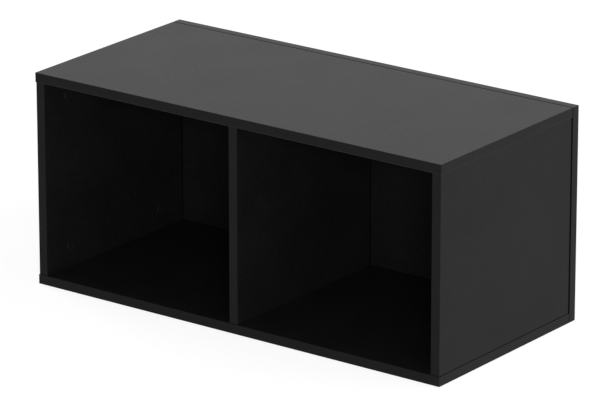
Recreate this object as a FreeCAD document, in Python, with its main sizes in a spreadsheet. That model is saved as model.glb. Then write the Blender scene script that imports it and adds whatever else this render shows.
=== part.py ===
import FreeCAD, Part
import os
import re
import Sketcher
from FreeCAD import Rotation, Vector

# Record storage box: an open-fronted cabinet of six laminated boards with two square compartments.
# The frame is +Z up and +X to the right, with the open front towards -Y.
# The origin lies on the floor under the middle of the box. Sizes are in millimetres.

SIZES = (
    # The boards
    ("box_width", 794, "outer width of the top, the bottom and the back"),
    ("box_depth", 374, "front of the top to the rear of the back"),
    ("box_height", 358, "underside of the bottom to the upper face of the top"),
    ("board", 16, "thickness of every board"),
    ("reveal", 1, "how far the uprights stand back behind the edges of the other boards"),
    ("band", 1, "thickness of the edge bands"),
    ("band_lip", 0.75, "flat left on a band between its rounded corner and the glue line"),
    ("rear_bevel", 1.2, "bevel along the rear edge of the top and the bottom, a groove in front of the back"),
    ("side_bevel", 2, "bevel down the rear edge of each side, a groove in front of the back"),
    ("end_bevel", 0.5, "bevel across the upper and lower ends of the sides and of the bands in front"),
    ("band_bevel", 0.8, "bevel across the rear ends of the bands along the sides of the top and the bottom"),
    # The joints between the uprights and the top and bottom
    ("joint_inset", 60, "front or rear end of an upright to its first cam lock or dowel"),
    ("cam_setback", 34, "upper or lower end of an upright to the axis of a cam lock"),
    ("slack", 0.1, "clearance between a fitting and its bore, all round"),
    ("end_gap", 0.5, "clearance beyond the end of a fitting in a blind bore"),
    # The eccentric cam locks
    ("cam_bore", 15, "bore of a cam lock"),
    ("cam_wall", 2, "thinnest wall round the chamber that takes the head of the bolt"),
    ("cam_floor", 0.6, "thickness of a cam lock below its chamber"),
    ("cam_throw", 0.6, "how far the chamber lies off the axis"),
    ("head_room", 0.3, "clearance round the neck and above and below the head of the bolt"),
    ("drive_length", 8, "length of the cross slots for the screwdriver"),
    ("drive_width", 1.4, "width of the cross slots"),
    ("drive_depth", 2, "depth of the cross slots"),
    # The connecting bolts
    ("bolt_head", 6.4, "diameter of the head that the cam lock draws in"),
    ("bolt_head_length", 3, "length of the head below its cone"),
    ("bolt_neck", 4, "diameter of the neck behind the head"),
    ("bolt_shank", 7, "diameter of the shank, which stops on the face of the board"),
    ("bolt_thread", 5, "diameter over the thread"),
    ("bolt_thread_length", 11, "length of the thread"),
    # The cover caps of the cam locks
    ("cap_overlap", 1.5, "how far a cover cap reaches past the bore of its cam lock"),
    ("cap_height", 0.8, "thickness of a cover cap"),
    # The dowels
    ("dowel", 8, "diameter of a dowel"),
    ("dowel_length", 30, "length of a dowel"),
    ("dowel_in_face", 10.5, "how much of a dowel is in the top or the bottom"),
    ("dowel_bevel", 1, "bevel round the ends of a dowel"),
    # The screws through the back
    ("screw_length", 50, "overall length of a back screw"),
    ("screw_head", 10, "diameter of the countersunk head"),
    ("countersink", 90, "angle of the cone under the head, in degrees"),
    ("screw_shank", 7, "diameter of the plain shank in the back"),
    ("screw_thread", 6.4, "diameter over the thread in the edge of a board"),
    ("screw_sink", 0.2, "how far the head lies below the rear face"),
    ("screw_socket", 4, "hexagon socket, across flats"),
    ("screw_socket_depth", 2.5, "depth of the hexagon socket"),
    ("screw_spread", 170, "distance between the two screws in an upright"),
    # The floor pads
    ("pad_diameter", 20, "diameter of a floor pad"),
    ("pad_height", 2, "thickness of a floor pad"),
    ("pad_inset", 40, "centre of a corner pad to the outside of the box"),
)

RIGHT = Vector(1, 0, 0)
BACK = Vector(0, 1, 0)
UP = Vector(0, 0, 1)
LEFT = -RIGHT
FRONT = -BACK
DOWN = -UP
FULL_TURN = 360
HALF_TURN = 180

doc = FreeCAD.newDocument("record_storage_box")
sheet = doc.addObject("Spreadsheet::Sheet", "sizes")
for row, (alias, number, meaning) in enumerate(SIZES, start=1):
    sheet.set(f"A{row}", meaning)
    sheet.set(f"B{row}", str(number))
    sheet.setAlias(f"B{row}", alias)
doc.recompute()

ALIASES = {alias for alias, number, meaning in SIZES}
pieces = []


# Formulas over the sheet

def formula(text):
    """Turns plain words such as board / 2 into an expression over the sheet."""
    return re.sub(r"[a-z_]+", lambda word: f"sizes.{word[0]}" if word[0] in ALIASES else word[0], text)


def number_of(text):
    return float(sheet.evalExpression(formula(text)))


def bind(item, setting, text):
    item.setExpression(setting, formula(text))


def place(item, spot, x_axis=RIGHT, y_axis=BACK):
    """Sets an object's axes, and ties its place to three formulas."""
    item.Placement.Rotation = Rotation(x_axis, y_axis, x_axis.cross(y_axis), "XYZ")
    for letter, text in zip("xyz", spot):
        bind(item, f"Placement.Base.{letter}", text)


# Sketches

def new_body(name):
    body = doc.addObject("PartDesign::Body", name)
    body.Label = name
    return body


def plane_of(body, role):
    return next(item for item in body.Origin.OriginFeatures if item.Role == role)


def new_sketch(body, name, role="XY_Plane", offset="0"):
    """A sketch on one of the body's own planes, shifted along the plane's normal."""
    sketch = body.newObject("Sketcher::SketchObject", f"{body.Name}_{name}")
    sketch.AttachmentSupport = [(plane_of(body, role), "")]
    sketch.MapMode = "FlatFace"
    bind(sketch, "AttachmentOffset.Base.z", offset)
    return sketch


def dimension(sketch, kind, references, text):
    index = sketch.addConstraint(Sketcher.Constraint(kind, *references, number_of(text)))
    sketch.renameConstraint(index, f"size_{index}")
    bind(sketch, f"Constraints.size_{index}", text)


def pin(sketch, point, spot):
    """Ties a point of the sketch to two formulas, or to an axis where the formula is nought."""
    for text, axis, kind in zip(spot, (-2, -1), ("DistanceX", "DistanceY")):
        if text == "0":
            sketch.addConstraint(Sketcher.Constraint("PointOnObject", *point, axis))
        else:
            dimension(sketch, kind, (-1, 1, *point), text)


def draw_outline(sketch, corners):
    """A closed outline of straight lines, with a pair of formulas for each corner."""
    points = [Vector(number_of(across), number_of(along), 0) for across, along in corners]
    for start, end in zip(points, points[1:] + points[:1]):
        sketch.addGeometry(Part.LineSegment(start, end))
    for index, spot in enumerate(corners):
        before = (index - 1) % len(corners)
        sketch.addConstraint(Sketcher.Constraint("Coincident", before, 2, index, 1))
        pin(sketch, (index, 1), spot)


def draw_rectangle(sketch, left, right, low, high):
    draw_outline(sketch, ((left, low), (right, low), (right, high), (left, high)))


def draw_circles(sketch, centres, diameter):
    for index, (across, along) in enumerate(centres):
        middle = Vector(number_of(across), number_of(along), 0)
        sketch.addGeometry(Part.Circle(middle, UP, number_of(diameter) / 2))
        pin(sketch, (index, 3), (across, along))
        dimension(sketch, "Diameter", (index,), diameter)


# Features

def add_pad(body, sketch, length, against_normal=False):
    pad = body.newObject("PartDesign::Pad", f"{sketch.Name}_pad")
    pad.Profile = sketch
    pad.Reversed = against_normal
    bind(pad, "Length", length)
    return pad


def add_pocket(body, sketch, depth, along_normal=False):
    pocket = body.newObject("PartDesign::Pocket", f"{sketch.Name}_pocket")
    pocket.Profile = sketch
    pocket.Reversed = along_normal
    bind(pocket, "Length", depth)
    return pocket


def add_turning(body, sketch, kind="PartDesign::Revolution", angle=FULL_TURN):
    """Turns a sketch about its own upright axis."""
    turning = body.newObject(kind, f"{sketch.Name}_turned")
    turning.Profile = sketch
    turning.ReferenceAxis = (sketch, ["V_Axis"])
    turning.Angle = angle
    return turning


def lies_towards(edge, block, *ways):
    """Whether the middle of an edge lies near the side of a block that each of the ways points at."""
    box = block.Shape.BoundBox
    offset = edge.CenterOfMass - box.Center
    reach = Vector(box.XLength, box.YLength, box.ZLength)
    return all(offset.dot(way) > abs(reach.dot(way)) / 4 for way in ways)


def add_edge_finish(body, kind, base, setting, size, is_wanted):
    """Rounds or bevels those edges of the base feature that is_wanted picks."""
    doc.recompute()
    finish = body.newObject(kind, f"{base.Name}_finish")
    wanted = [f"Edge{number}" for number, edge in enumerate(base.Shape.Edges, start=1) if is_wanted(edge)]
    finish.Base = (base, wanted)
    bind(finish, setting, size)
    return finish


def copy_group(name, body, spots):
    """One node of separate, equal solids, each tied to its own place."""
    links = []
    for number, (spot, x_axis, y_axis) in enumerate(spots, start=1):
        link = doc.addObject("App::Link", f"{name}_{number}")
        link.LinkedObject = body
        place(link, spot, x_axis, y_axis)
        links.append(link)
    group = doc.addObject("Part::Compound", name)
    group.Label = name
    group.Links = links
    pieces.append(group)


# Planes and rows that several pieces share

FRONT_FACE = "(-box_depth / 2)"
REAR_EDGE = "(box_depth / 2 - board)"
UPRIGHT_FRONT = f"({FRONT_FACE} + reveal)"
UPRIGHT_HEIGHT = "(box_height - 2 * board)"
UPRIGHT_X = "(box_width / 2 - reveal - board / 2)"
SIDE_GLUE = "(box_width / 2 - band)"
RIM_GLUE = "(box_height / 2 - band)"
UNDERSIDE = "pad_height"
MID_HEIGHT = f"({UNDERSIDE} + box_height / 2)"
END_ROWS = (f"({UPRIGHT_FRONT} + joint_inset)", f"({REAR_EDGE} - joint_inset)")
MIDDLE_ROW = (f"(({UPRIGHT_FRONT} + {REAR_EDGE}) / 2)",)
SCREW_X = (f"(-{UPRIGHT_X} / 2)", f"({UPRIGHT_X} / 2)")
SCREW_RISE = ("(-screw_spread / 2)", "(screw_spread / 2)")
SCREW_BORE_DEPTH = "screw_length + screw_sink - board + end_gap"
HEAD_FLARE = "tan(countersink / 2)"
CHAMBER_RADIUS = "(cam_bore / 2 - slack - cam_wall - cam_throw)"
CAM_DEPTH = "(board / 2 + bolt_head / 2 + head_room + cam_floor)"
NECK_HALF = "(bolt_neck / 2 + head_room)"

# Each upright: the middle of its thickness, the way its inner face looks, and its cam locks and dowels
# The sides are drawn up tight by cam locks, and the divider between them stands on dowels alone.
UPRIGHTS = {
    "left_side_panel": (f"-{UPRIGHT_X}", RIGHT, END_ROWS, MIDDLE_ROW),
    "centre_divider": ("0", RIGHT, (), END_ROWS),
    "right_side_panel": (UPRIGHT_X, LEFT, END_ROWS, MIDDLE_ROW),
}
# Each end of an upright: the plane of the joint, the sign of the way back along the upright,
# and the way on into the other board
JOINTS = (
    (f"({UNDERSIDE} + box_height - board)", "-", UP),
    (f"({UNDERSIDE} + board)", "+", DOWN),
)


# The top and the bottom: two equal boards, bored in the inner face and in the rear edge
# In a board's own axes Z points from its inner face to its outer one.

def make_level_board(name, height, x_axis):
    body = new_body(name)
    outline = new_sketch(body, "outline")
    draw_rectangle(outline, f"-{SIDE_GLUE}", SIDE_GLUE, f"{FRONT_FACE} + band", REAR_EDGE)
    slab = add_pad(body, outline, "board")
    rear_edge = lambda edge: lies_towards(edge, slab, BACK, UP)
    add_edge_finish(body, "PartDesign::Chamfer", slab, "Size", "rear_bevel", rear_edge)
    bolt_spots = []
    dowel_spots = []
    for middle, face, cam_rows, dowel_rows in UPRIGHTS.values():
        bolt_spots += [(middle, row) for row in cam_rows]
        dowel_spots += [(middle, row) for row in dowel_rows]
    bolts = new_sketch(body, "bolt_bores")
    draw_circles(bolts, bolt_spots, "bolt_thread + 2 * slack")
    add_pocket(body, bolts, "bolt_thread_length + end_gap", along_normal=True)
    dowels = new_sketch(body, "dowel_bores")
    draw_circles(dowels, dowel_spots, "dowel + 2 * slack")
    add_pocket(body, dowels, "dowel_in_face + end_gap", along_normal=True)
    screws = new_sketch(body, "screw_bores", "XZ_Plane", f"-{REAR_EDGE}")
    draw_circles(screws, [(x, "board / 2") for x in SCREW_X], "screw_thread + 2 * slack")
    add_pocket(body, screws, SCREW_BORE_DEPTH, along_normal=True)
    place(body, ("0", "0", height), x_axis, BACK)
    pieces.append(body)


make_level_board("top_panel", JOINTS[0][0], RIGHT)
make_level_board("bottom_panel", JOINTS[1][0], LEFT)


# The three uprights: boards of one size, bored in both ends, and the sides also in their inner faces
# In an upright's own axes X points to the rear, Y along its height and Z out of its inner face.

def make_upright(name, middle, face, cam_rows, dowel_rows):
    body = new_body(name)
    end_bores = []
    outline = new_sketch(body, "outline", offset="-board / 2")
    half_height = f"({UPRIGHT_HEIGHT} / 2)"
    draw_rectangle(outline, f"{UPRIGHT_FRONT} + band", REAR_EDGE, f"-{half_height}", half_height)
    slab = add_pad(body, outline, "board")
    if cam_rows:
        rear_edge = lambda edge: lies_towards(edge, slab, RIGHT, DOWN)
        bevelled = add_edge_finish(body, "PartDesign::Chamfer", slab, "Size", "side_bevel", rear_edge)
        add_edge_finish(body, "PartDesign::Chamfer", bevelled, "Size", "end_bevel", lambda edge: (
            lies_towards(edge, slab, DOWN) and not lies_towards(edge, slab, RIGHT)
            and (lies_towards(edge, slab, BACK) or lies_towards(edge, slab, FRONT))
        ))
        cams = new_sketch(body, "cam_bores", offset="board / 2")
        draw_circles(cams, [(row, f"{half_height} - cam_setback") for row in cam_rows], "cam_bore")
        end_bores.append(add_pocket(body, cams, f"{CAM_DEPTH} + end_gap"))
        bolts = new_sketch(body, "bolt_bores", "XZ_Plane", f"-{half_height}")
        draw_circles(bolts, [(row, "0") for row in cam_rows], "bolt_shank + 2 * slack")
        end_bores.append(add_pocket(body, bolts, "cam_setback", along_normal=True))
    dowels = new_sketch(body, "dowel_bores", "XZ_Plane", f"-{half_height}")
    draw_circles(dowels, [(row, "0") for row in dowel_rows], "dowel + 2 * slack")
    dowel_depth = "dowel_length - dowel_in_face + end_gap"
    end_bores.append(add_pocket(body, dowels, dowel_depth, along_normal=True))
    doc.recompute()
    lower_end = body.newObject("PartDesign::Mirrored", f"{name}_lower_end")
    lower_end.Originals = end_bores
    lower_end.MirrorPlane = (plane_of(body, "XZ_Plane"), [""])
    body.Tip = lower_end
    screws = new_sketch(body, "screw_bores", "YZ_Plane", REAR_EDGE)
    draw_circles(screws, [(rise, "0") for rise in SCREW_RISE], "screw_thread + 2 * slack")
    add_pocket(body, screws, SCREW_BORE_DEPTH)
    place(body, (middle, "0", MID_HEIGHT), BACK, face.cross(BACK))
    pieces.append(body)


for name, upright in UPRIGHTS.items():
    make_upright(name, *upright)


# The back: one board over the whole rear, with countersunk holes from behind

def make_back_panel():
    body = new_body("back_panel")
    outline = new_sketch(body, "outline")
    draw_rectangle(outline, f"-{SIDE_GLUE}", SIDE_GLUE, f"-{RIM_GLUE}", RIM_GLUE)
    add_pad(body, outline, "board")
    edge_row = "(box_height / 2 - board / 2)"
    centres = [(x, z) for x in SCREW_X for z in (f"-{edge_row}", edge_row)]
    centres += [(upright[0], z) for upright in UPRIGHTS.values() for z in SCREW_RISE]
    marks = new_sketch(body, "screw_holes", offset="board")
    draw_circles(marks, centres, "screw_shank + 2 * slack")
    doc.recompute()
    holes = body.newObject("PartDesign::Hole", "back_panel_holes")
    holes.Profile = marks
    holes.DepthType = "ThroughAll"
    holes.HoleCutType = "Countersink"
    bind(holes, "Diameter", "screw_shank + 2 * slack")
    bind(holes, "HoleCutDiameter", f"screw_head + 2 * slack + 2 * screw_sink * {HEAD_FLARE}")
    bind(holes, "HoleCutCountersinkAngle", "countersink")
    place(body, ("0", REAR_EDGE, MID_HEIGHT), LEFT, UP)
    pieces.append(body)


make_back_panel()


# The edge bands: strips with rounded outer corners, glued to the cut edges that show
# In a band's own axes X is its length, Y points away from the board and Z goes across the board.

def make_band(name, length, spot, x_axis, outward, open_ends=False):
    body = new_body(name)
    outline = new_sketch(body, "outline")
    draw_rectangle(outline, f"-({length}) / 2", f"({length}) / 2", "0", "band")
    strip = add_pad(body, outline, "board")

    def is_outer_corner(edge):
        if lies_towards(edge, strip, LEFT) or lies_towards(edge, strip, RIGHT):
            return open_ends and not lies_towards(edge, strip, FRONT)
        return lies_towards(edge, strip, BACK)

    add_edge_finish(body, "PartDesign::Fillet", strip, "Radius", "band - band_lip", is_outer_corner)
    place(body, spot, x_axis, outward)
    pieces.append(body)
    return body


def bevel_end(band, name, length, sign, size):
    """Bevels the outer corner across one end of a band, at the plus or the minus end of its length."""
    end = f"{sign}({length}) / 2"
    start = f"{sign}(({length}) / 2 - {size})"
    corner = new_sketch(band, name)
    draw_outline(corner, ((end, f"band - {size}"), (end, "band"), (start, "band")))
    add_pocket(band, corner, "board", along_normal=True)


SIDE_LENGTH = f"({REAR_EDGE} - {FRONT_FACE} - band)"
SIDE_MIDDLE = f"(({REAR_EDGE} + {FRONT_FACE} + band) / 2)"


def make_side_band(name, spot, x_axis, outward):
    """A band along the side of the top or the bottom, which carries on the bevel along the rear edge."""
    band = make_band(name, SIDE_LENGTH, spot, x_axis, outward)
    sign = "" if x_axis == BACK else "-"
    bevel_end(band, "rear_end", SIDE_LENGTH, sign, "band_bevel")
    end = f"{sign}{SIDE_LENGTH} / 2"
    start = f"{sign}({SIDE_LENGTH} / 2 - rear_bevel)"
    corner = new_sketch(band, "rear_edge", "XZ_Plane")
    draw_outline(corner, ((end, "board - rear_bevel"), (end, "board"), (start, "board")))
    add_pocket(band, corner, "band")


for board_name, (inner_face, back_sign, outer_way) in zip(("top", "bottom"), JOINTS):
    front_spot = ("0", f"{FRONT_FACE} + band", inner_face)
    front_axis = FRONT.cross(outer_way)
    make_band(f"{board_name}_front_band", "box_width", front_spot, front_axis, FRONT, open_ends=True)
    for side_name, glue_x, outward in (("left", f"-{SIDE_GLUE}", LEFT), ("right", SIDE_GLUE, RIGHT)):
        side_spot = (glue_x, SIDE_MIDDLE, inner_face)
        make_side_band(f"{board_name}_{side_name}_band", side_spot, outward.cross(outer_way), outward)

for board_name, upright in UPRIGHTS.items():
    short_name = board_name.replace("_side_panel", "").replace("centre_", "")
    spot = (f"{upright[0]} - board / 2", f"{UPRIGHT_FRONT} + band", MID_HEIGHT)
    band = make_band(f"{short_name}_front_band", UPRIGHT_HEIGHT, spot, UP, FRONT)
    bevel_end(band, "upper_end", UPRIGHT_HEIGHT, "", "end_bevel")
    bevel_end(band, "lower_end", UPRIGHT_HEIGHT, "-", "end_bevel")

upper_rim = ("0", REAR_EDGE, f"{MID_HEIGHT} + {RIM_GLUE}")
lower_rim = ("0", REAR_EDGE, f"{MID_HEIGHT} - {RIM_GLUE}")
left_rim = (f"-{SIDE_GLUE}", REAR_EDGE, MID_HEIGHT)
right_rim = (SIDE_GLUE, REAR_EDGE, MID_HEIGHT)
make_band("back_top_band", "box_width", upper_rim, LEFT, UP, open_ends=True)
make_band("back_bottom_band", "box_width", lower_rim, RIGHT, DOWN, open_ends=True)
make_band("back_left_band", f"2 * {RIM_GLUE}", left_rim, DOWN, LEFT)
make_band("back_right_band", f"2 * {RIM_GLUE}", right_rim, UP, RIGHT)


# The cam lock: a drum with an off-centre chamber, a mouth for the bolt's head and a track for its neck
# In its own axes the drum's face is at Z = 0 and looks along +Z, and the bolt comes from +Y.

def cross_outline():
    """The corners of an upright cross, quarter by quarter."""
    arm = "drive_length / 2"
    half = "drive_width / 2"
    return (
        (arm, f"-{half}"), (arm, half), (half, half),
        (half, arm), (f"-{half}", arm), (f"-{half}", half),
        (f"-{arm}", half), (f"-{arm}", f"-{half}"), (f"-{half}", f"-{half}"),
        (f"-{half}", f"-{arm}"), (half, f"-{arm}"), (half, f"-{half}"),
    )


def make_cam_lock():
    body = new_body("cam_lock")
    bolt_axis = "(-board / 2)"
    drum = new_sketch(body, "drum")
    draw_circles(drum, [("0", "0")], "cam_bore - 2 * slack")
    add_pad(body, drum, CAM_DEPTH, against_normal=True)
    chamber_half = "(bolt_head / 2 + head_room)"
    chamber = new_sketch(body, "chamber", offset=f"{bolt_axis} + {chamber_half}")
    draw_circles(chamber, [("0", "-cam_throw")], f"2 * {CHAMBER_RADIUS}")
    add_pocket(body, chamber, f"2 * {chamber_half}")
    mouth = new_sketch(body, "mouth", "XZ_Plane")
    draw_circles(mouth, [("0", bolt_axis)], "bolt_head + 2 * slack")
    add_pocket(body, mouth, "cam_bore / 2", along_normal=True)
    low = f"{bolt_axis} - {NECK_HALF}"
    high = f"{bolt_axis} + {NECK_HALF}"
    neck = new_sketch(body, "neck", "XZ_Plane")
    draw_rectangle(neck, f"-{NECK_HALF}", NECK_HALF, low, high)
    add_pocket(body, neck, "cam_bore / 2")
    track = new_sketch(body, "track", "YZ_Plane")
    draw_rectangle(track, f"{CHAMBER_RADIUS} / 2", "cam_bore / 2", low, high)
    add_turning(body, track, "PartDesign::Groove", HALF_TURN)
    slots = new_sketch(body, "drive")
    draw_outline(slots, cross_outline())
    add_pocket(body, slots, "drive_depth")
    return body


# The connecting bolt: turned steel with a coned head at one end and a thread at the other
# In its own axes Z = 0 is the plane of the joint and +Z goes into the top or the bottom.

def make_cam_bolt():
    body = new_body("cam_bolt")
    head_seat = f"sqrt({CHAMBER_RADIUS} ^ 2 - {NECK_HALF} ^ 2) - cam_throw - slack"
    cone_top = f"({head_seat} + head_room - cam_setback)"
    cone_foot = f"({cone_top} - (bolt_head - bolt_neck) / 2)"
    shank_end = "(cam_bore / 2 - cam_setback + slack)"
    profile = new_sketch(body, "profile", "XZ_Plane")
    draw_outline(profile, (
        ("0", "bolt_thread_length"),
        ("bolt_thread / 2", "bolt_thread_length"),
        ("bolt_thread / 2", "0"),
        ("bolt_shank / 2", "0"),
        ("bolt_shank / 2", shank_end),
        ("bolt_neck / 2", shank_end),
        ("bolt_neck / 2", cone_top),
        ("bolt_head / 2", cone_foot),
        ("bolt_head / 2", f"{cone_foot} - bolt_head_length"),
        ("0", f"{cone_foot} - bolt_head_length"),
    ))
    add_turning(body, profile)
    return body


# The cover cap: a thin self-adhesive disc that hides a cam lock

def make_cover_cap():
    body = new_body("cover_cap")
    disc = new_sketch(body, "disc")
    draw_circles(disc, [("0", "0")], "cam_bore + 2 * cap_overlap")
    add_pad(body, disc, "cap_height")
    return body


# The dowel: a beech pin with bevelled ends

def make_dowel():
    body = new_body("dowel_pin")
    section = new_sketch(body, "section")
    draw_circles(section, [("0", "0")], "dowel")
    pin_pad = add_pad(body, section, "dowel_length")
    ends = lambda edge: edge.Closed
    add_edge_finish(body, "PartDesign::Chamfer", pin_pad, "Size", "dowel_bevel", ends)
    return body


# The back screw: countersunk head with a hexagon socket, plain shank and threaded end
# In its own axes the head's face is at Z = 0 and the point is downwards.

def make_back_screw():
    body = new_body("back_screw")
    head_depth = f"((screw_head - screw_shank) / 2 / {HEAD_FLARE})"
    shank_end = "(screw_sink - board)"
    profile = new_sketch(body, "profile", "XZ_Plane")
    draw_outline(profile, (
        ("0", "0"),
        ("screw_head / 2", "0"),
        ("screw_shank / 2", f"-{head_depth}"),
        ("screw_shank / 2", shank_end),
        ("screw_thread / 2", shank_end),
        ("screw_thread / 2", "-screw_length"),
        ("0", "-screw_length"),
    ))
    add_turning(body, profile)
    socket = new_sketch(body, "socket")
    flat = "screw_socket / 2"
    corner = "screw_socket / sqrt(3)"
    half_flat = "screw_socket / sqrt(3) / 2"
    draw_outline(socket, (
        ("0", corner), (f"-{flat}", half_flat), (f"-{flat}", f"-{half_flat}"),
        ("0", f"-{corner}"), (flat, f"-{half_flat}"), (flat, half_flat),
    ))
    add_pocket(body, socket, "screw_socket_depth")
    return body


# The floor pad: a round self-adhesive pad

def make_floor_pad():
    body = new_body("floor_pad")
    disc = new_sketch(body, "disc")
    draw_circles(disc, [("0", "0")], "pad_diameter")
    add_pad(body, disc, "pad_height")
    return body


# Where the fittings go

cam_spots = []
bolt_spots = []
dowel_spots = []
for middle, face, cam_rows, dowel_rows in UPRIGHTS.values():
    face_x = f"{middle} {'+' if face == RIGHT else '-'} board / 2"
    for plane, back_sign, outward in JOINTS:
        dowel_foot = f"{plane} {back_sign} (dowel_length - dowel_in_face)"
        for row in dowel_rows:
            dowel_spots.append(((middle, row, dowel_foot), RIGHT, outward.cross(RIGHT)))
        for row in cam_rows:
            cam_spot = (face_x, row, f"{plane} {back_sign} cam_setback")
            cam_spots.append((cam_spot, outward.cross(face), outward))
            bolt_spots.append(((middle, row, plane), RIGHT, outward.cross(RIGHT)))

screw_y = "box_depth / 2 - screw_sink"
screw_spots = []
for x in SCREW_X:
    for sign in "+-":
        screw_spots.append(((x, screw_y, f"{MID_HEIGHT} {sign} (box_height - board) / 2"), RIGHT, DOWN))
for upright in UPRIGHTS.values():
    for rise in SCREW_RISE:
        screw_spots.append(((upright[0], screw_y, f"{MID_HEIGHT} + {rise}"), RIGHT, DOWN))

pad_x = "(box_width / 2 - pad_inset)"
pad_y = "(box_depth / 2 - pad_inset)"
pad_spots = []
for x in (f"-{pad_x}", "0", pad_x):
    for y in (f"-{pad_y}", pad_y):
        pad_spots.append(((x, y, "0"), RIGHT, BACK))

copy_group("cam_locks", make_cam_lock(), cam_spots)
copy_group("cam_cover_caps", make_cover_cap(), cam_spots)
copy_group("cam_bolts", make_cam_bolt(), bolt_spots)
copy_group("wooden_dowels", make_dowel(), dowel_spots)
copy_group("back_screws", make_back_screw(), screw_spots)
copy_group("floor_pads", make_floor_pad(), pad_spots)
doc.recompute()


# Every feature has to be sound, and every cut has to have removed something

CUTS = ("PartDesign::Pocket", "PartDesign::Groove", "PartDesign::Hole")
for item in doc.Objects:
    if "Invalid" in item.State or "Error" in item.State:
        raise RuntimeError(f"{item.Label} failed: {item.State}")
    if item.TypeId in CUTS and item.Shape.Volume >= item.BaseFeature.Shape.Volume:
        raise RuntimeError(f"{item.Label} cuts nothing")
for piece in pieces:
    if piece.Shape.isNull() or not piece.Shape.isValid():
        raise RuntimeError(f"{piece.Label} has no valid shape")

os.makedirs("parts", exist_ok=True)
for piece in pieces:
    piece.Shape.exportStep(f"parts/{piece.Label}.step")
    print(piece.Label, len(piece.Shape.Solids), round(piece.Shape.Volume))
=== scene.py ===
import math

import bmesh
import bpy
from mathutils import Matrix, Vector


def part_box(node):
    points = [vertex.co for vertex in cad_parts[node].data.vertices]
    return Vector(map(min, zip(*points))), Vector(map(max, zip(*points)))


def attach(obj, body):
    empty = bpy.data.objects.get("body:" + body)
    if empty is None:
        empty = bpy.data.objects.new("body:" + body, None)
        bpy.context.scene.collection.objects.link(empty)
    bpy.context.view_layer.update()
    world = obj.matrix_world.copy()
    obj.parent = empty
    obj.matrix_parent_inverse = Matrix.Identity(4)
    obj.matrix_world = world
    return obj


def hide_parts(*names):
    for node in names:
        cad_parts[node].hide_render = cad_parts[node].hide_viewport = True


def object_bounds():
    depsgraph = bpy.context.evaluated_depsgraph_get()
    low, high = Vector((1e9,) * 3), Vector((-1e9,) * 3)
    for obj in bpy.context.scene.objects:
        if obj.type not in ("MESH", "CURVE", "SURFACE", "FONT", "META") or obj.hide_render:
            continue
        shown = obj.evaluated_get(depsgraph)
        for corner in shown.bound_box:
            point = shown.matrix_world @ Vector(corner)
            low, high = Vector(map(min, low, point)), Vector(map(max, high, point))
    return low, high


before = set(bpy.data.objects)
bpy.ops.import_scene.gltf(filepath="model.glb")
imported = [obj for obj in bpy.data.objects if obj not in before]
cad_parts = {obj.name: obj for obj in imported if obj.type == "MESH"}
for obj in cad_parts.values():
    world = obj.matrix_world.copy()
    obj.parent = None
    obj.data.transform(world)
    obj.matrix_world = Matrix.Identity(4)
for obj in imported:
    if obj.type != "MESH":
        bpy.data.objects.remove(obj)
cad_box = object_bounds()


# The boards: six pieces of 16 mm chipboard, faced with black melamine paper that has a fine pearl texture.
# They are sawn and bored after facing, so raw chips show in the bores and on edges that no band covers.
# The bevels are stained black, and their colour is darker than the paper as painted shade in the groove.
# A strip of painted shade laps a little onto the faces beside the rear joint.

class Socket:
    """A socket of a finish. Sums and products of sockets add their own Math nodes."""

    def __init__(self, tree, socket=None):
        self.tree = tree
        self.socket = socket

    def fill(self, node, sockets):
        """Sets or links the sockets of a node."""
        for name, value in sockets.items():
            if isinstance(value, Socket):
                self.tree.links.new(value.socket, node.inputs[name])
            else:
                node.inputs[name].default_value = value

    def node(self, kind, settings, sockets, output=0):
        """Adds a node: first its settings, then the values or links of its sockets."""
        made = self.tree.nodes.new(kind)
        for name, setting in settings.items():
            setattr(made, name, setting)
        self.fill(made, sockets)
        return Socket(self.tree, made.outputs[output])

    def maths(self, operation, first, second=0.0):
        return self.node("ShaderNodeMath", {"operation": operation}, {0: first, 1: second})

    def __add__(self, other):
        return self.maths("ADD", self, other)

    def __sub__(self, other):
        return self.maths("SUBTRACT", self, other)

    def __mul__(self, other):
        return self.maths("MULTIPLY", self, other)

    def __radd__(self, other):
        return self.maths("ADD", other, self)

    def __rsub__(self, other):
        return self.maths("SUBTRACT", other, self)

    def __rmul__(self, other):
        return self.maths("MULTIPLY", other, self)

    def __abs__(self):
        return self.maths("ABSOLUTE", self)

    def larger(self, other):
        return self.maths("MAXIMUM", self, other)

    def halfway(self, other):
        """The mean of two sockets."""
        return 0.5 * (self + other)

    def ranged(self, low, high):
        """Low where this socket is nought, high where it is one."""
        return low + (high - low) * self

    def swing(self, amount):
        """Minus the amount where this socket is nought, plus the amount where it is one."""
        return self.ranged(-amount, amount)

    def between(self, low, high):
        """Nought below low, one above high and a smooth rise from one to the other."""
        settings = {"interpolation_type": "SMOOTHSTEP"}
        return self.node("ShaderNodeMapRange", settings, {"Value": self, "From Min": low, "From Max": high})

    def colour(self, first, second):
        """The first colour where this socket is nought, the second where it is one."""
        # A Mix node takes its two colours at sockets 6 and 7, and gives a colour at its output 2.
        return self.node("ShaderNodeMix", {"data_type": "RGBA"}, {0: self, 6: first, 7: second}, 2)

    def share(self, axis):
        """The share of a place or a normal along the X, Y or Z axis."""
        return self.node("ShaderNodeSeparateXYZ", {}, {"Vector": self}, axis)

    def stretched(self, factors):
        return self.node("ShaderNodeVectorMath", {"operation": "MULTIPLY"}, {0: self, 1: factors})

    def noise(self, size, detail):
        """A cloudy pattern from nought to one, with patches of about that size."""
        return self.node("ShaderNodeTexNoise", {}, {"Vector": self, "Scale": 1 / size, "Detail": detail})

    def relief(self, height):
        """A bumped normal for a relief of that height in metres, with this socket as its pattern."""
        return self.node("ShaderNodeBump", {}, {"Strength": 1.0, "Distance": height, "Height": self})


def new_finish(name):
    """A material, and the places on the piece that wears it, in metres."""
    material = bpy.data.materials.new(name)
    material.use_nodes = True
    places = Socket(material.node_tree).node("ShaderNodeTexCoord", {}, {}, "Object")
    return material, places


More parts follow.
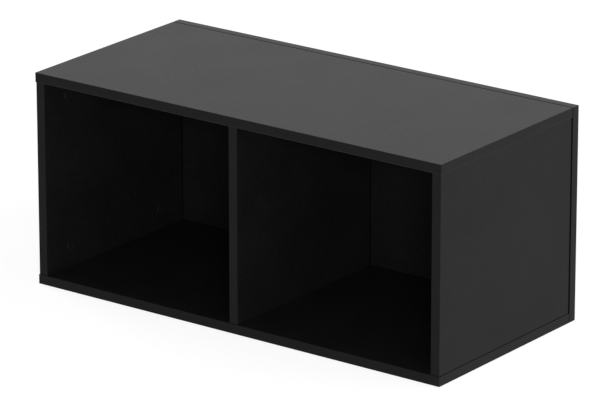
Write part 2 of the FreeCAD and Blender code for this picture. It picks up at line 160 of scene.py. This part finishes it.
def set_shader(material, sockets):
    shader = material.node_tree.nodes["Principled BSDF"]
    Socket(material.node_tree).fill(shader, sockets)


def squareness(places, axis):
    """How squarely the surface faces along an axis, either way, from nought to one."""
    normals = places.node("ShaderNodeTexCoord", {}, {}, "Normal")
    return abs(normals.share(axis))


def beside(places, axis, plane, reach):
    """One within that reach of a plane across an axis, and nought past it."""
    fade = 0.0003
    return 1 - abs(places.share(axis) - plane).between(reach - fade, reach)


# TONES are the part of a pattern's range over which one colour turns into the other. A pattern's TONE is its
# share in the colour, and its SATIN is how far it moves the roughness. A TURN is how squarely a surface
# faces along an axis where it becomes a bevel, a corner, a raw edge or a cut end.
REAR_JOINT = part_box("back_panel")[0].y
BLACK_PAPER = (0.0120, 0.0120, 0.0123, 1)
WORN_PAPER = (0.0195, 0.0195, 0.0198, 1)
PAPER_TONES = (0.35, 0.65)
PAPER_GLOSS = 0.070
PAPER_ROUGHNESS = 0.31
PEARL_SIZE = 0.0012
PEARL_HEIGHT = 0.00004
PEARL_TONE = 0.5
PEARL_SATIN = 0.25
MOTTLE_SIZE = 0.006
MOTTLE_TONE = 0.2
MOTTLE_SATIN = 0.05
CLOUD_SIZE = 0.09
CLOUD_TONE = 0.3
CLOUD_SATIN = 0.05
# The near black of the painted shade in the rear groove, and its roughness
BLACK_GROOVE_SHADE = (0.0040, 0.0040, 0.0040, 1)
GROOVE_SHADE_ROUGHNESS = 0.85
BEVEL_TURN = (0.8, 0.95)
PALE_CHIP = (0.42, 0.29, 0.17, 1)
DARK_CHIP = (0.17, 0.10, 0.05, 1)
CHIP_TONES = (0.35, 0.65)
CHIP_LENGTH = 0.006
CHIP_THICKNESS = 0.0011
RAW_TURN = (0.5, 0.65)


def melamine_finish(name, thickness_axis, shade_reach):
    material, places = new_finish(name)
    pearl = places.noise(PEARL_SIZE, detail=2)
    mottle = places.noise(MOTTLE_SIZE, detail=3)
    cloud = places.noise(CLOUD_SIZE, detail=4)
    tone = PEARL_TONE * pearl + MOTTLE_TONE * mottle + CLOUD_TONE * cloud
    satin = pearl.swing(PEARL_SATIN) + mottle.swing(MOTTLE_SATIN) + cloud.swing(CLOUD_SATIN)
    paper = tone.between(*PAPER_TONES).colour(BLACK_PAPER, WORN_PAPER)
    grain = [1 / CHIP_LENGTH] * 3
    grain["XYZ".index(thickness_axis)] = 1 / CHIP_THICKNESS
    chip = places.stretched(grain).noise(1, detail=3)
    chips = chip.between(*CHIP_TONES).colour(DARK_CHIP, PALE_CHIP)
    facing = squareness(places, thickness_axis)
    raw = 1 - facing.between(*RAW_TURN)
    bevel = 1 - facing.between(*BEVEL_TURN)
    # Painted shade: the bevels and a strip of the faces beside the rear joint are coloured darker than the
    # paper, so the groove reads dark.
    groove_shade = bevel.larger(beside(places, "Y", REAR_JOINT, shade_reach))
    set_shader(material, {
        "Base Color": raw.colour(groove_shade.colour(paper, BLACK_GROOVE_SHADE), chips),
        "Roughness": groove_shade.ranged(PAPER_ROUGHNESS + satin, GROOVE_SHADE_ROUGHNESS),
        "Specular IOR Level": PAPER_GLOSS,
        "Normal": pearl.relief(PEARL_HEIGHT),
    })
    return material


# The boards by the axis across them, with how far the painted groove shade reaches from the rear joint
BOARDS = {
    "Z": {"boards": ("top_panel", "bottom_panel"), "groove_shade": 0.0021},
    "X": {"boards": ("left_side_panel", "centre_divider", "right_side_panel"), "groove_shade": 0.0029},
    "Y": {"boards": ("back_panel",), "groove_shade": 0.0},
}


def dress(node, material):
    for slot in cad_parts[node].material_slots:
        slot.material = material


for thickness_axis, group in BOARDS.items():
    melamine = melamine_finish(f"black_melamine_across_{thickness_axis}", thickness_axis, group["groove_shade"])
    for board in group["boards"]:
        dress(board, melamine)


# The edge bands: strips of black plastic, 1 mm thick, glued to the cut edges that show.
# They are trimmed and scraped along their length, which leaves fine lines, and corners that are paler partly
# from burnish and partly as a painted highlight. A strip of painted highlight runs along the lower margin of
# the top's bands, and painted shade darkens the bands beside the rear joint.

BLACK_BAND = (0.0125, 0.0125, 0.0128, 1)
SCRAPED_BAND = (0.0155, 0.0155, 0.0158, 1)
BAND_TONES = (0.3, 0.7)
BAND_GLOSS = 0.073
BAND_ROUGHNESS = 0.315
BAND_CLOUD_SIZE = 0.05
BAND_CLOUD_SATIN = 0.05
SCRAPE_LENGTH = 0.16
SCRAPE_WIDTH = 0.0012
SCRAPE_HEIGHT = 0.000015
SCRAPE_SATIN = 0.025
# The paler corner colour is partly real burnish from scraping and partly a painted highlight along the edges
BURNISH_AND_HIGHLIGHT_CORNER = (0.0200, 0.0200, 0.0203, 1)
CORNER_TURN = (0.75, 0.97)
CORNER_TONE = 0.7
CORNER_POLISH = 0.04
CUT_END_TURN = (0.3, 0.5)
# The colour of the painted highlight along the lower margin of the top's bands
HIGHLIGHT_MARGIN_COLOUR = (0.0330, 0.0330, 0.0333, 1)
HIGHLIGHT_MARGIN_TONES = (0.1, 0.5)
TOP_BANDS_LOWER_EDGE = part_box("top_front_band")[0].z


def edging_finish(name, length_axis, shade_reach, highlight_reach):
    material, places = new_finish(name)
    grain = [1 / SCRAPE_WIDTH] * 3
    grain["XYZ".index(length_axis)] = 1 / SCRAPE_LENGTH
    scrape = places.stretched(grain).noise(1, detail=3)
    cloud = places.noise(BAND_CLOUD_SIZE, detail=3)
    plastic = cloud.halfway(scrape).between(*BAND_TONES).colour(BLACK_BAND, SCRAPED_BAND)
    first, second = (squareness(places, axis) for axis in "XYZ" if axis != length_axis)
    cut_end = squareness(places, length_axis).between(*CUT_END_TURN)
    # The corners are coloured paler: partly real burnish from scraping, partly a painted highlight along the
    # edges.
    corner = (1 - cut_end) * (1 - first.larger(second).between(*CORNER_TURN))
    burnish_and_highlight = (CORNER_TONE * corner).colour(plastic, BURNISH_AND_HIGHLIGHT_CORNER)
    # Painted highlight: a paler, patchy strip along the lower margin of the top's bands.
    highlight_margin = beside(places, "Z", TOP_BANDS_LOWER_EDGE, highlight_reach) * cloud.between(*HIGHLIGHT_MARGIN_TONES)
    # Painted shade: a strip of the band beside the rear joint is coloured near black, so the groove at the
    # back reads dark.
    groove_shade = beside(places, "Y", REAR_JOINT, shade_reach)
    satin = cloud.swing(BAND_CLOUD_SATIN) + scrape.swing(SCRAPE_SATIN) - CORNER_POLISH * corner
    set_shader(material, {
        "Base Color": groove_shade.colour(highlight_margin.colour(burnish_and_highlight, HIGHLIGHT_MARGIN_COLOUR), BLACK_GROOVE_SHADE),
        "Roughness": groove_shade.ranged(BAND_ROUGHNESS + satin, GROOVE_SHADE_ROUGHNESS),
        "Specular IOR Level": BAND_GLOSS,
        "Normal": scrape.relief(SCRAPE_HEIGHT),
    })
    return material


# The bands by the axis along them, with the reach of the painted groove shade and of the painted highlight
# margin
BANDS = {
    "X": {
        "bands": ("top_front_band", "bottom_front_band", "back_top_band", "back_bottom_band"),
        "groove_shade": 0.0005,
        "highlight": 0.0012,
    },
    "Y": {
        "bands": ("top_left_band", "top_right_band", "bottom_left_band", "bottom_right_band"),
        "groove_shade": 0.0014,
        "highlight": 0.0012,
    },
    "Z": {
        "bands": (
            "left_front_band", "divider_front_band", "right_front_band", "back_left_band", "back_right_band",
        ),
        "groove_shade": 0.0005,
        "highlight": 0.0,
    },
}
for length_axis, group in BANDS.items():
    finish_name = f"black_edging_along_{length_axis}"
    edging = edging_finish(finish_name, length_axis, group["groove_shade"], group["highlight"])
    for band in group["bands"]:
        dress(band, edging)


# The cam locks: die-cast zinc drums, pressed into the inner faces of the two sides.
# The casting leaves a grey, faintly mottled skin with small pits.

PALE_ZINC = (0.56, 0.56, 0.57, 1)
DULL_ZINC = (0.38, 0.38, 0.40, 1)
ZINC_TONES = (0.3, 0.7)
ZINC_ROUGHNESS = (0.34, 0.56)
ZINC_MOTTLE_SIZE = 0.003
PIT_SIZE = 0.0006
PIT_DEPTH = 0.00004


def zinc_finish():
    material, places = new_finish("die_cast_zinc")
    mottle = places.noise(ZINC_MOTTLE_SIZE, detail=4)
    pits = places.noise(PIT_SIZE, detail=2)
    set_shader(material, {
        "Base Color": mottle.between(*ZINC_TONES).colour(DULL_ZINC, PALE_ZINC),
        "Metallic": 1.0,
        "Roughness": mottle.ranged(*ZINC_ROUGHNESS),
        "Normal": pits.relief(PIT_DEPTH),
    })
    return material


dress("cam_locks", zinc_finish())


# The connecting bolts: turned steel, plated bright, one in the end of each side for every cam lock.
# Each is screwed into the top or the bottom by its thread, and its head is drawn in by the cam.

BOLT_THREAD = 0.0050
BOLT_THREAD_ROOT = 0.0037
BOLT_PITCH = 0.0022
BOLT_THREAD_LENGTH = 0.011
BOLT_SHANK = 0.0070
BOLT_SHANK_LENGTH = 0.0264
BOLT_NECK = 0.0040
BOLT_HEAD = 0.0064
BOLT_HEAD_LENGTH = 0.0030
BOLT_BEVEL = 0.0004
BOLT_CROSS = 0.0036
BOLT_CROSS_WIDTH = 0.0010
BOLT_CROSS_DEPTH = 0.0014
BOLT_CROSS_MIDDLE = 0.0004
BOLT_SIDES = 48
THREAD_STEPS = 8
PLATED_STEEL = (0.66, 0.65, 0.62, 1)
TURNED_STEEL = (0.50, 0.50, 0.49, 1)
STEEL_TONES = (0.3, 0.7)
STEEL_ROUGHNESS = (0.22, 0.34)
STEEL_CLOUD_SIZE = 0.004
RINGS_PER_METRE = (20, 20, 9000)
RING_HEIGHT = 0.000004
RING_ROUGHNESS = 0.06


def solids_of(node):
    """The lowest and highest corner of each separate solid in a node, in a steady order."""
    same_place = 1e-6
    welded = bmesh.new()
    welded.from_mesh(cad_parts[node].data)
    bmesh.ops.remove_doubles(welded, verts=welded.verts, dist=same_place)
    waiting = set(welded.verts)
    boxes = []
    while waiting:
        reached = [waiting.pop()]
        for vert in reached:
            touching = {edge.other_vert(vert) for edge in vert.link_edges} & waiting
            waiting -= touching
            reached.extend(touching)
        spots = [vert.co for vert in reached]
        low = Vector([min(spot[axis] for spot in spots) for axis in range(3)])
        high = Vector([max(spot[axis] for spot in spots) for axis in range(3)])
        boxes.append((low, high))
    welded.free()
    return sorted(boxes, key=lambda box: [round(value, 4) for value in box[0]])


def turned_mesh(name, profile, sides, material):
    """A closed mesh turned about Z. Each row has a height, and a radius or a radius by angle."""
    mesh = bmesh.new()
    rings = []
    for height, radius in profile:
        ring = []
        for step in range(sides):
            angle = math.tau * step / sides
            reach = radius(angle) if callable(radius) else radius
            ring.append(mesh.verts.new((reach * math.cos(angle), reach * math.sin(angle), height)))
        rings.append(ring)
    for low, high in zip(rings, rings[1:]):
        for step in range(sides):
            after = (step + 1) % sides
            mesh.faces.new((low[step], low[after], high[after], high[step]))
    mesh.faces.new(reversed(rings[0]))
    mesh.faces.new(rings[-1])
    for face in mesh.faces:
        face.smooth = True
    made = bpy.data.meshes.new(name)
    mesh.to_mesh(made)
    mesh.free()
    sharp_fold = math.radians(32)
    made.set_sharp_from_angle(angle=sharp_fold)
    made.materials.append(material)
    return made


def thread_rows(low, high, root, crest, pitch):
    """Rows of a profile for a single thread with sharp ridges that fade out at both ends."""
    ridge_half = 0.28
    count = round((high - low) / pitch * THREAD_STEPS)
    rows = []
    for step in range(count + 1):
        height = low + (high - low) * step / count
        fade = min(1.0, (height - low) / pitch, (high - height) / pitch)

        def radius(angle, height=height, fade=fade):
            turn = (height / pitch - angle / math.tau) % 1.0
            ridge = max(0.0, 1.0 - abs(turn - 0.5) / ridge_half)
            return root + (crest - root) * ridge * fade

        rows.append((height, radius))
    return rows


def cross_radius(length, width):
    """The outline of a cross recess, as a radius by angle."""

    def radius(angle):
        lean = abs((angle + math.pi / 4) % (math.pi / 2) - math.pi / 4)
        if math.tan(lean) < width / length:
            return length / 2 / math.cos(lean)
        return width / 2 / math.sin(lean)

    return radius


def set_piece(name, mesh, foot, axis, node):
    """Sets a fitting on its foot with its own Z along the axis, in place of its plain solid."""
    piece = bpy.data.objects.new(name, mesh)
    piece.matrix_world = Matrix.Translation(foot) @ axis.to_track_quat("Z", "Y").to_matrix().to_4x4()
    bpy.context.scene.collection.objects.link(piece)
    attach(piece, "root")
    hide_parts(node)


def steel_finish():
    material, places = new_finish("plated_steel")
    rings = places.stretched(RINGS_PER_METRE).noise(1, detail=2)
    cloud = places.noise(STEEL_CLOUD_SIZE, detail=3)
    set_shader(material, {
        "Base Color": rings.halfway(cloud).between(*STEEL_TONES).colour(TURNED_STEEL, PLATED_STEEL),
        "Metallic": 1.0,
        "Roughness": cloud.ranged(*STEEL_ROUGHNESS) + RING_ROUGHNESS * rings,
        "Normal": rings.relief(RING_HEIGHT),
    })
    return material


def bolt_mesh(head_end):
    """A bolt with its Z along its thread. Its thread starts at nought, and its head ends below."""
    cone = (BOLT_HEAD - BOLT_NECK) / 2
    cone_foot = head_end + BOLT_HEAD_LENGTH
    cross = cross_radius(BOLT_CROSS, BOLT_CROSS_WIDTH)
    profile = [
        (head_end + BOLT_CROSS_DEPTH, BOLT_CROSS_MIDDLE / 2),
        (head_end + BOLT_CROSS_DEPTH, cross),
        (head_end, cross),
        (head_end, BOLT_HEAD / 2 - BOLT_BEVEL),
        (head_end + BOLT_BEVEL, BOLT_HEAD / 2),
        (cone_foot, BOLT_HEAD / 2),
        (cone_foot + cone, BOLT_NECK / 2),
        (-BOLT_SHANK_LENGTH, BOLT_NECK / 2),
        (-BOLT_SHANK_LENGTH, BOLT_SHANK / 2 - BOLT_BEVEL),
        (BOLT_BEVEL - BOLT_SHANK_LENGTH, BOLT_SHANK / 2),
        (0.0, BOLT_SHANK / 2),
        (0.0, BOLT_THREAD_ROOT / 2 + BOLT_BEVEL),
    ]
    tip = BOLT_THREAD_LENGTH - BOLT_BEVEL
    profile += thread_rows(BOLT_BEVEL, tip, BOLT_THREAD_ROOT / 2, BOLT_THREAD / 2, BOLT_PITCH)
    profile.append((BOLT_THREAD_LENGTH, BOLT_THREAD_ROOT / 2 - BOLT_BEVEL))
    return turned_mesh("cam_bolt", profile, BOLT_SIDES, steel_finish())


bolt_boxes = solids_of("cam_bolts")
bolt_reach = bolt_boxes[0][1].z - bolt_boxes[0][0].z
bolt = bolt_mesh(BOLT_THREAD_LENGTH - bolt_reach)
mid_height = (cad_box[0].z + cad_box[1].z) / 2
for number, (low, high) in enumerate(bolt_boxes, start=1):
    middle = (low + high) / 2
    way = Vector((0, 0, 1)) if middle.z > mid_height else Vector((0, 0, -1))
    foot = middle + way * (bolt_reach / 2 - BOLT_THREAD_LENGTH)
    set_piece(f"cam_bolt_{number}", bolt, foot, way, "cam_bolts")


# The dowels: fluted beech pins, glued into the ends of the uprights to line the boards up.
# The flutes let air and glue out of the bore, and the ends are bevelled to start easily.

DOWEL_FLUTES = 20
DOWEL_FLUTE_DEPTH = 0.00035
DOWEL_BEVEL = 0.001
STEPS_PER_FLUTE = 6
PALE_BEECH = (0.60, 0.42, 0.25, 1)
DARK_BEECH = (0.42, 0.26, 0.14, 1)
BEECH_TONES = (0.3, 0.7)
BEECH_ROUGHNESS = (0.62, 0.82)
BEECH_GLOSS = 0.3
BEECH_GRAIN_PER_METRE = (900, 900, 40)
BEECH_GRAIN_HEIGHT = 0.00003
BEECH_FLECK = (0.33, 0.19, 0.10, 1)
FLECKS_PER_METRE = (2200, 2200, 300)
FLECK_TONES = (0.66, 0.74)
FLECK_TONE = 0.6


def beech_finish():
    """Beech with its grain along Z, cut from another place of the tree for each dowel."""
    material, places = new_finish("beech")
    seed = places.node("ShaderNodeObjectInfo", {}, {}, "Random")
    moved = places.node("ShaderNodeVectorMath", {"operation": "ADD"}, {0: places, 1: seed})
    grain = moved.stretched(BEECH_GRAIN_PER_METRE).noise(1, detail=4)
    flecks = moved.stretched(FLECKS_PER_METRE).noise(1, detail=1).between(*FLECK_TONES)
    wood = grain.between(*BEECH_TONES).colour(DARK_BEECH, PALE_BEECH)
    set_shader(material, {
        "Base Color": (FLECK_TONE * flecks).colour(wood, BEECH_FLECK),
        "Roughness": grain.ranged(*BEECH_ROUGHNESS),
        "Specular IOR Level": BEECH_GLOSS,
        "Normal": grain.relief(BEECH_GRAIN_HEIGHT),
    })
    return material


def dowel_mesh(length, radius):
    def fluted(angle):
        return radius - DOWEL_FLUTE_DEPTH * (0.5 - 0.5 * math.cos(DOWEL_FLUTES * angle)) ** 2

    profile = [
        (0.0, radius - DOWEL_BEVEL),
        (DOWEL_BEVEL / 2, radius - DOWEL_BEVEL / 2),
        (DOWEL_BEVEL, fluted),
        (length - DOWEL_BEVEL, fluted),
        (length - DOWEL_BEVEL / 2, radius - DOWEL_BEVEL / 2),
        (length, radius - DOWEL_BEVEL),
    ]
    return turned_mesh("wooden_dowel", profile, DOWEL_FLUTES * STEPS_PER_FLUTE, beech_finish())


dowel_boxes = solids_of("wooden_dowels")
dowel_size = dowel_boxes[0][1] - dowel_boxes[0][0]
dowel = dowel_mesh(dowel_size.z, dowel_size.x / 2)
for number, (low, high) in enumerate(dowel_boxes, start=1):
    foot = Vector(((low.x + high.x) / 2, (low.y + high.y) / 2, low.z))
    set_piece(f"wooden_dowel_{number}", dowel, foot, Vector((0, 0, 1)), "wooden_dowels")


# The cover caps: thin black plastic discs with a rounded rim, stuck over the cam locks.
# They are moulded with a fine satin, a little smoother than the boards around them.

CAP_SIDES = 64
CAP_RIM = 0.0005
CAP_RIM_WIDTH = 0.0015
CAP_DISH = 0.00012
CAP_MIDDLE = 0.001
ARC_STEPS = 5
BLACK_CAP = (0.0150, 0.0150, 0.0152, 1)
PALE_CAP = (0.0200, 0.0200, 0.0203, 1)
CAP_TONES = (0.3, 0.7)
CAP_ROUGHNESS = (0.30, 0.40)
CAP_GLOSS = 0.35
CAP_CLOUD_SIZE = 0.006
CAP_SATIN_SIZE = 0.0005
CAP_SATIN_HEIGHT = 0.00001


def rim_rows(radius, height, rim):
    """Rows of a profile that round the outer edge of a disc over into its upper face."""
    rows = []
    for step in range(ARC_STEPS + 1):
        angle = math.pi / 2 * step / ARC_STEPS
        rows.append((height - rim + rim * math.sin(angle), radius - rim + rim * math.cos(angle)))
    return rows


def cap_finish():
    material, places = new_finish("satin_plastic")
    cloud = places.noise(CAP_CLOUD_SIZE, detail=3)
    satin = places.noise(CAP_SATIN_SIZE, detail=2)
    set_shader(material, {
        "Base Color": cloud.between(*CAP_TONES).colour(BLACK_CAP, PALE_CAP),
        "Roughness": cloud.ranged(*CAP_ROUGHNESS),
        "Specular IOR Level": CAP_GLOSS,
        "Normal": satin.relief(CAP_SATIN_HEIGHT),
    })
    return material


def cap_mesh(radius, height):
    rim_end = radius - CAP_RIM_WIDTH
    dish = height - CAP_DISH
    profile = [
        (0.0, radius),
        *rim_rows(radius, height, CAP_RIM),
        (height, rim_end),
        (dish, rim_end - CAP_RIM),
        (dish, CAP_MIDDLE / 2),
    ]
    return turned_mesh("cam_cover_cap", profile, CAP_SIDES, cap_finish())


cap_boxes = solids_of("cam_cover_caps")
cap_size = cap_boxes[0][1] - cap_boxes[0][0]
cap = cap_mesh(cap_size.z / 2, cap_size.x)
for number, (low, high) in enumerate(cap_boxes, start=1):
    middle = (low + high) / 2
    inward = Vector((-math.copysign(1, middle.x), 0, 0))
    foot = middle - inward * cap_size.x / 2
    set_piece(f"cam_cover_cap_{number}", cap, foot, inward, "cam_cover_caps")


# The back screws: black steel connecting screws with a countersunk head and a hexagon socket.
# They go through the back into the rear edges of the boards, and their heads lie flush.

SCREW_HEAD = 0.010
SCREW_SHANK = 0.007
SCREW_SHANK_END = 0.0158
SCREW_THREAD = 0.0064
SCREW_ROOT = 0.0046
SCREW_PITCH = 0.0030
SCREW_SOCKET = 0.004
SCREW_SOCKET_DEPTH = 0.0025
SCREW_EDGE = 0.0003
SCREW_TIP = 0.003
SCREW_POINT = 0.0028
SCREW_SIDES = 48
BLACK_STEEL = (0.018, 0.018, 0.019, 1)
RUBBED_STEEL = (0.070, 0.068, 0.066, 1)
BLACK_STEEL_TONES = (0.5, 0.75)
BLACK_STEEL_METALLIC = 0.6
BLACK_STEEL_ROUGHNESS = (0.34, 0.50)
BLACK_STEEL_CLOUD_SIZE = 0.0025
GRIT_SIZE = 0.0004
GRIT_HEIGHT = 0.00001


def black_steel_finish():
    material, places = new_finish("black_steel")
    cloud = places.noise(BLACK_STEEL_CLOUD_SIZE, detail=4)
    grit = places.noise(GRIT_SIZE, detail=2)
    set_shader(material, {
        "Base Color": cloud.between(*BLACK_STEEL_TONES).colour(BLACK_STEEL, RUBBED_STEEL),
        "Metallic": BLACK_STEEL_METALLIC,
        "Roughness": grit.ranged(*BLACK_STEEL_ROUGHNESS),
        "Normal": grit.relief(GRIT_HEIGHT),
    })
    return material


def hexagon_radius(across_flats):
    """The outline of a hexagon, as a radius by angle."""

    def radius(angle):
        sector = math.pi / 3
        lean = angle % sector - sector / 2
        return across_flats / 2 / math.cos(lean)

    return radius


def screw_mesh(length):
    """A screw with its Z out of the back. The face of its head lies at nought."""
    head_depth = (SCREW_HEAD - SCREW_SHANK) / 2
    socket = hexagon_radius(SCREW_SOCKET)
    socket_lip = hexagon_radius(SCREW_SOCKET + 2 * SCREW_EDGE)
    root = SCREW_ROOT / 2
    profile = [(-length, SCREW_POINT / 2), (SCREW_TIP - length, root)]
    profile += thread_rows(SCREW_TIP - length, -SCREW_SHANK_END, root, SCREW_THREAD / 2, SCREW_PITCH)[1:]
    profile += [
        (-SCREW_SHANK_END, SCREW_SHANK / 2 - SCREW_EDGE),
        (SCREW_EDGE - SCREW_SHANK_END, SCREW_SHANK / 2),
        (-head_depth, SCREW_SHANK / 2),
        (-SCREW_EDGE, SCREW_HEAD / 2 - SCREW_EDGE),
        (0.0, SCREW_HEAD / 2 - 2 * SCREW_EDGE),
        (0.0, socket_lip),
        (-SCREW_EDGE, socket),
        (-SCREW_SOCKET_DEPTH, socket),
        (-SCREW_SOCKET_DEPTH - SCREW_EDGE, SCREW_EDGE),
    ]
    return turned_mesh("back_screw", profile, SCREW_SIDES, black_steel_finish())


screw_boxes = solids_of("back_screws")
screw = screw_mesh(screw_boxes[0][1].y - screw_boxes[0][0].y)
for number, (low, high) in enumerate(screw_boxes, start=1):
    foot = Vector(((low.x + high.x) / 2, high.y, (low.z + high.z) / 2))
    set_piece(f"back_screw_{number}", screw, foot, Vector((0, 1, 0)), "back_screws")


# The floor pads: round black rubber pads, stuck under the bottom near its corners and its middle.
# The lower rim is rounded, and a shallow ring is moulded into the face that meets the floor.

PAD_SIDES = 64
PAD_RIM = 0.0006
PAD_RING_INNER = 0.0110
PAD_RING_OUTER = 0.0140
PAD_RING_DEPTH = 0.0004
PAD_MIDDLE = 0.0012
BLACK_RUBBER = (0.016, 0.016, 0.016, 1)
RUBBER_BLOOM = (0.030, 0.030, 0.029, 1)
RUBBER_TONES = (0.35, 0.7)
RUBBER_ROUGHNESS = (0.78, 0.92)
RUBBER_GLOSS = 0.3
BLOOM_SIZE = 0.005
RUBBER_GRAIN_SIZE = 0.0005
RUBBER_GRAIN_HEIGHT = 0.00003


def rubber_finish():
    material, places = new_finish("matt_rubber")
    bloom = places.noise(BLOOM_SIZE, detail=4)
    grain = places.noise(RUBBER_GRAIN_SIZE, detail=3)
    set_shader(material, {
        "Base Color": bloom.between(*RUBBER_TONES).colour(BLACK_RUBBER, RUBBER_BLOOM),
        "Roughness": bloom.ranged(*RUBBER_ROUGHNESS),
        "Specular IOR Level": RUBBER_GLOSS,
        "Normal": grain.relief(RUBBER_GRAIN_HEIGHT),
    })
    return material


def pad_mesh(radius, height):
    inner = PAD_RING_INNER / 2
    outer = PAD_RING_OUTER / 2
    ring_floor = height - PAD_RING_DEPTH
    profile = [
        (0.0, radius),
        *rim_rows(radius, height, PAD_RIM),
        (height, outer),
        (ring_floor, outer - PAD_RING_DEPTH),
        (ring_floor, inner + PAD_RING_DEPTH),
        (height, inner),
        (height, PAD_MIDDLE / 2),
    ]
    return turned_mesh("floor_pad", profile, PAD_SIDES, rubber_finish())


pad_boxes = solids_of("floor_pads")
pad_size = pad_boxes[0][1] - pad_boxes[0][0]
pad = pad_mesh(pad_size.x / 2, pad_size.z)
for number, (low, high) in enumerate(pad_boxes, start=1):
    foot = Vector(((low.x + high.x) / 2, (low.y + high.y) / 2, high.z))
    set_piece(f"floor_pad_{number}", pad, foot, Vector((0, 0, -1)), "floor_pads")


# The floor: a wide pale sheet that the box stands on. It is no part of the box.
# A glow lifts it to white for the eye and for gloss, and leaves it the soft shadow of the box.

FLOOR_REACH = 40.0
FLOOR_COLOUR = (0.86, 0.86, 0.86, 1)
SEEN_COLOUR = (0.28, 0.28, 0.28, 1)
SEEN_GLOW = (0.885, 0.885, 0.885, 1)
NO_GLOW = (0, 0, 0, 1)


def seen_rays(start):
    """One for rays from the eye, from gloss and through glass, nought for the rest."""
    kinds = ("Is Camera Ray", "Is Glossy Ray", "Is Transmission Ray")
    camera, gloss, glass = (start.node("ShaderNodeLightPath", {}, {}, kind) for kind in kinds)
    return camera.larger(gloss).larger(glass)


def floor_finish():
    material, places = new_finish("pale_floor")
    seen = seen_rays(places)
    set_shader(material, {
        "Base Color": seen.colour(FLOOR_COLOUR, SEEN_COLOUR),
        "Roughness": 1.0,
        "Specular IOR Level": 0.0,
        "Emission Color": seen.colour(NO_GLOW, SEEN_GLOW),
        "Emission Strength": 1.0,
    })
    return material


sheet = bmesh.new()
bmesh.ops.create_grid(sheet, size=FLOOR_REACH / 2)
floor_mesh = bpy.data.meshes.new("floor")
sheet.to_mesh(floor_mesh)
sheet.free()
floor_mesh.materials.append(floor_finish())
floor = bpy.data.objects.new("floor", floor_mesh)
bpy.context.scene.collection.objects.link(floor)


# The light: a white room that the eye and the gloss see, and broad lamps round the box that neither sees.
# The front lamp shines nearly along the line of sight, so that it reaches into the compartments.
# A lamp's level is the share of full white that it gives a sheet that faces it.

WHITE = (1, 1, 1, 1)
ROOM_LEVEL = 0.05
SEEN_ROOM_LEVEL = 1.0
LAMPS = {
    "front_lamp": {"azimuth": 37, "elevation": 17, "distance": 6.0, "size": 1.2, "level": 0.29},
    "high_lamp": {"azimuth": 60, "elevation": 32, "distance": 5.0, "size": 1.8, "level": 0.06},
    "right_lamp": {"azimuth": 100, "elevation": 45, "distance": 4.5, "size": 2.5, "level": 0.28},
    "back_lamp": {"azimuth": 160, "elevation": 15, "distance": 5.0, "size": 2.0, "level": 0.15},
    "left_lamp": {"azimuth": 262, "elevation": 20, "distance": 5.0, "size": 2.0, "level": 0.40},
}


def outward(azimuth, elevation):
    """The way from the box to a place round it: azimuth 0 is straight in front, and 90 on the right."""
    turn = math.radians(azimuth)
    rise = math.radians(elevation)
    return Vector((math.sin(turn) * math.cos(rise), -math.cos(turn) * math.cos(rise), math.sin(rise)))


world = bpy.data.worlds.new("white_room")
world.use_nodes = True
bpy.context.scene.world = world
room = Socket(world.node_tree)
room.fill(world.node_tree.nodes["Background"], {
    "Color": WHITE,
    "Strength": seen_rays(room).ranged(ROOM_LEVEL, SEEN_ROOM_LEVEL),
})

box_middle = (cad_box[0] + cad_box[1]) / 2
for name, lamp in LAMPS.items():
    way = outward(lamp["azimuth"], lamp["elevation"])
    light = bpy.data.lights.new(name, "AREA")
    light.size = lamp["size"]
    light.energy = lamp["level"] * (math.pi * lamp["distance"]) ** 2
    holder = bpy.data.objects.new(name, light)
    holder.location = box_middle + way * lamp["distance"]
    holder.rotation_euler = (-way).to_track_quat("-Z", "Y").to_euler()
    holder.visible_camera = False
    holder.visible_glossy = False
    bpy.context.scene.collection.objects.link(holder)


# The camera: a long lens some way off, to the right of the front and looking down a little.
# Its place, aim and lens put the edges of the box where the photograph has them.

AZIMUTH = 36.65
ELEVATION = 18.60
DISTANCE = 7.68
LENS = 282.0
TARGET = Vector((0.0, 0.0, 0.181))
SHIFT_RIGHT = 0.0054
SHIFT_UP = -0.0066

back = outward(AZIMUTH, ELEVATION)
right = Vector((0, 0, 1)).cross(back).normalized()
up = back.cross(right)
lens = bpy.data.cameras.new("camera")
lens.lens = LENS
camera = bpy.data.objects.new("camera", lens)
camera.location = TARGET + right * SHIFT_RIGHT + up * SHIFT_UP + back * DISTANCE
camera.rotation_euler = (-back).to_track_quat("-Z", "Y").to_euler()
bpy.context.scene.collection.objects.link(camera)
bpy.context.scene.camera = camera
bpy.context.scene.view_settings.view_transform = "Standard"
